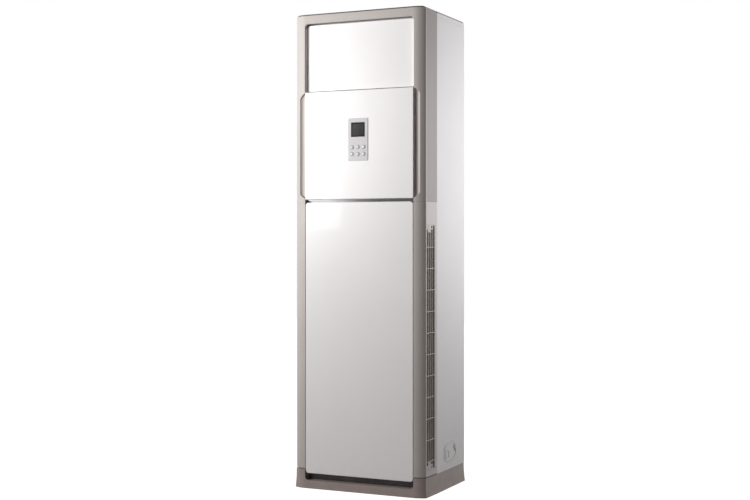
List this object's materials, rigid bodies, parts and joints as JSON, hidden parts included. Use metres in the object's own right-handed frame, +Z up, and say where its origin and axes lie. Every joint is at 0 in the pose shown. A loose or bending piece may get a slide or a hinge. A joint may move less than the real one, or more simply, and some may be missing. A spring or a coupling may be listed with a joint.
{
  "type": "floor standing air conditioner",
  "caption": "Tall floor standing air conditioner: white front panels in a silver frame, sliding outlet door, side inlet grilles, fan, coil and louvers inside a flared base.",
  "frame": {"origin": "on the floor under the middle of the base", "axes": "+Z up, the front faces -Y, +X to the right as seen from the front"},
  "size_m": [0.556, 0.41, 1.825],
  "materials": {
    "base_plastic": "satin grey-brown moulded plastic",
    "frame_plastic": "satin champagne-silver painted plastic",
    "gloss_white": "high gloss white moulding",
    "cabinet_paint": "light grey powder coat",
    "dark_steel": "dark brown paint",
    "inner_plastic": "plain white moulding",
    "gear_plastic": "natural acetal",
    "motor_steel": "plated steel can",
    "silver_plastic": "silver paint",
    "display_glass": "smoked clear plastic",
    "board_green": "circuit board laminate",
    "filter_mesh": "dark woven nylon screen in a frame",
    "screw_steel": "zinc plated",
    "zinc_steel": "galvanised sheet",
    "coil_fins": "aluminium fins on copper tube",
    "copper": "bare copper tube and brass nuts",
    "hose_plastic": "flexible drain hose",
    "rubber_black": "rubber bushes"
  },
  "bodies": {
    "cabinet": {"base_plinth": "base_plastic", "base_pan": "dark_steel", "rear_panel": "cabinet_paint", "left_side_panel": "cabinet_paint", "right_side_panel": "cabinet_paint", "pipe_knockout": "cabinet_paint", "top_cover": "cabinet_paint", "upper_front_frame": "frame_plastic", "lower_front_frame": "frame_plastic", "middle_panel": "gloss_white", "door_guides": "inner_plastic", "door_motor": "motor_steel", "control_bezel": "silver_plastic", "display_window": "display_glass", "control_board": "board_green", "inlet_grille_right": "frame_plastic", "inlet_grille_left": "frame_plastic", "filter_right": "filter_mesh", "filter_left": "filter_mesh", "screws": "screw_steel", "outlet_duct": "inner_plastic", "swing_motors": "motor_steel", "partition_deck": "zinc_steel", "coil_front_plate": "zinc_steel", "evaporator_coil": "coil_fins", "refrigerant_pipes": "copper", "drain_pan": "inner_plastic", "drain_hose": "hose_plastic", "volute_casing": "zinc_steel", "inlet_ring": "zinc_steel", "fan_motor": "motor_steel", "motor_bushes": "rubber_black", "electrical_box": "zinc_steel", "electrical_cover": "zinc_steel", "main_board": "board_green", "run_capacitor": "motor_steel"},
    "outlet_door": {"outlet_door": "gloss_white"},
    "door_pinion": {"door_pinion": "gear_plastic"},
    "lower_front_panel": {"lower_front_panel": "gloss_white"},
    "fan_rotor": {"fan_wheel": "zinc_steel", "motor_shaft": "screw_steel"},
    "louver_link": {"louver_link": "gear_plastic"},
    "vane_link": {"vane_link": "gear_plastic"},
    "button_1": {"button_1": "silver_plastic"},
    "button_2": {"button_2": "silver_plastic"},
    "button_3": {"button_3": "silver_plastic"},
    "button_4": {"button_4": "silver_plastic"},
    "button_5": {"button_5": "silver_plastic"},
    "button_6": {"button_6": "silver_plastic"},
    "louver_1": {"louver_1": "inner_plastic"},
    "louver_2": {"louver_2": "inner_plastic"},
    "louver_3": {"louver_3": "inner_plastic"},
    "louver_4": {"louver_4": "inner_plastic"},
    "louver_5": {"louver_5": "inner_plastic"},
    "vane_1": {"vane_1": "inner_plastic"},
    "vane_2": {"vane_2": "inner_plastic"},
    "vane_3": {"vane_3": "inner_plastic"},
    "vane_4": {"vane_4": "inner_plastic"},
    "vane_5": {"vane_5": "inner_plastic"},
    "vane_6": {"vane_6": "inner_plastic"}
  },
  "joints": [
    {"name": "door_slide", "type": "slide", "parent": "cabinet", "child": "outlet_door", "axis": [0, 0, -1], "range_m": [0, 0.261]},
    {"name": "pinion_turn", "type": "hinge", "parent": "cabinet", "child": "door_pinion", "pos_m": [0.21, -0.156, 1.515], "axis": [1, 0, 0], "range_deg": [0, 1069]},
    {"name": "panel_swing", "type": "hinge", "parent": "cabinet", "child": "lower_front_panel", "pos_m": [0, -0.186, 1.086], "axis": [-1, 0, 0], "range_deg": [0, 25]},
    {"name": "fan_spin", "type": "hinge", "parent": "cabinet", "child": "fan_rotor", "pos_m": [0, 0.02, 0.3], "axis": [0, 1, 0], "continuous": true},
    {"name": "louver_1_tilt", "type": "hinge", "parent": "cabinet", "child": "louver_1", "pos_m": [0, -0.1415, 1.564], "axis": [1, 0, 0], "range_deg": [-30, 30]},
    {"name": "louver_2_tilt", "type": "hinge", "parent": "cabinet", "child": "louver_2", "pos_m": [0, -0.1415, 1.612], "axis": [1, 0, 0], "range_deg": [-30, 30]},
    {"name": "louver_3_tilt", "type": "hinge", "parent": "cabinet", "child": "louver_3", "pos_m": [0, -0.1415, 1.66], "axis": [1, 0, 0], "range_deg": [-30, 30]},
    {"name": "louver_4_tilt", "type": "hinge", "parent": "cabinet", "child": "louver_4", "pos_m": [0, -0.1415, 1.708], "axis": [1, 0, 0], "range_deg": [-30, 30]},
    {"name": "louver_5_tilt", "type": "hinge", "parent": "cabinet", "child": "louver_5", "pos_m": [0, -0.1415, 1.756], "axis": [1, 0, 0], "range_deg": [-30, 30]},
    {"name": "louver_link_turn", "type": "hinge", "parent": "louver_3", "child": "louver_link", "pos_m": [-0.2108, -0.1265, 1.66], "axis": [1, 0, 0], "range_deg": [-30, 30]},
    {"name": "vane_1_turn", "type": "hinge", "parent": "cabinet", "child": "vane_1", "pos_m": [-0.175, -0.092, 1.66], "axis": [0, 0, 1], "range_deg": [-35, 35]},
    {"name": "vane_2_turn", "type": "hinge", "parent": "cabinet", "child": "vane_2", "pos_m": [-0.105, -0.092, 1.66], "axis": [0, 0, 1], "range_deg": [-35, 35]},
    {"name": "vane_3_turn", "type": "hinge", "parent": "cabinet", "child": "vane_3", "pos_m": [-0.035, -0.092, 1.66], "axis": [0, 0, 1], "range_deg": [-35, 35]},
    {"name": "vane_4_turn", "type": "hinge", "parent": "cabinet", "child": "vane_4", "pos_m": [0.035, -0.092, 1.66], "axis": [0, 0, 1], "range_deg": [-35, 35]},
    {"name": "vane_5_turn", "type": "hinge", "parent": "cabinet", "child": "vane_5", "pos_m": [0.105, -0.092, 1.66], "axis": [0, 0, 1], "range_deg": [-35, 35]},
    {"name": "vane_6_turn", "type": "hinge", "parent": "cabinet", "child": "vane_6", "pos_m": [0.175, -0.092, 1.66], "axis": [0, 0, 1], "range_deg": [-35, 35]},
    {"name": "vane_link_turn", "type": "hinge", "parent": "vane_4", "child": "vane_link", "pos_m": [0.035, -0.077, 1.5406], "axis": [0, 0, 1], "range_deg": [-35, 35]},
    {"name": "button_1_press", "type": "slide", "parent": "cabinet", "child": "button_1", "axis": [0, 1, 0], "range_m": [0, 0.001], "stiffness_N_per_m": 1500},
    {"name": "button_2_press", "type": "slide", "parent": "cabinet", "child": "button_2", "axis": [0, 1, 0], "range_m": [0, 0.001], "stiffness_N_per_m": 1500},
    {"name": "button_3_press", "type": "slide", "parent": "cabinet", "child": "button_3", "axis": [0, 1, 0], "range_m": [0, 0.001], "stiffness_N_per_m": 1500},
    {"name": "button_4_press", "type": "slide", "parent": "cabinet", "child": "button_4", "axis": [0, 1, 0], "range_m": [0, 0.001], "stiffness_N_per_m": 1500},
    {"name": "button_5_press", "type": "slide", "parent": "cabinet", "child": "button_5", "axis": [0, 1, 0], "range_m": [0, 0.001], "stiffness_N_per_m": 1500},
    {"name": "button_6_press", "type": "slide", "parent": "cabinet", "child": "button_6", "axis": [0, 1, 0], "range_m": [0, 0.001], "stiffness_N_per_m": 1500}
  ],
  "couplings": [
    {"joint": "pinion_turn", "follows": "door_slide", "rad_per_m": 71.429},
    {"joint": "louver_1_tilt", "follows": "louver_3_tilt", "ratio": 1},
    {"joint": "louver_2_tilt", "follows": "louver_3_tilt", "ratio": 1},
    {"joint": "louver_4_tilt", "follows": "louver_3_tilt", "ratio": 1},
    {"joint": "louver_5_tilt", "follows": "louver_3_tilt", "ratio": 1},
    {"joint": "louver_link_turn", "follows": "louver_3_tilt", "ratio": -1},
    {"joint": "vane_1_turn", "follows": "vane_4_turn", "ratio": 1},
    {"joint": "vane_2_turn", "follows": "vane_4_turn", "ratio": 1},
    {"joint": "vane_3_turn", "follows": "vane_4_turn", "ratio": 1},
    {"joint": "vane_5_turn", "follows": "vane_4_turn", "ratio": 1},
    {"joint": "vane_6_turn", "follows": "vane_4_turn", "ratio": 1},
    {"joint": "vane_link_turn", "follows": "vane_4_turn", "ratio": -1}
  ]
}
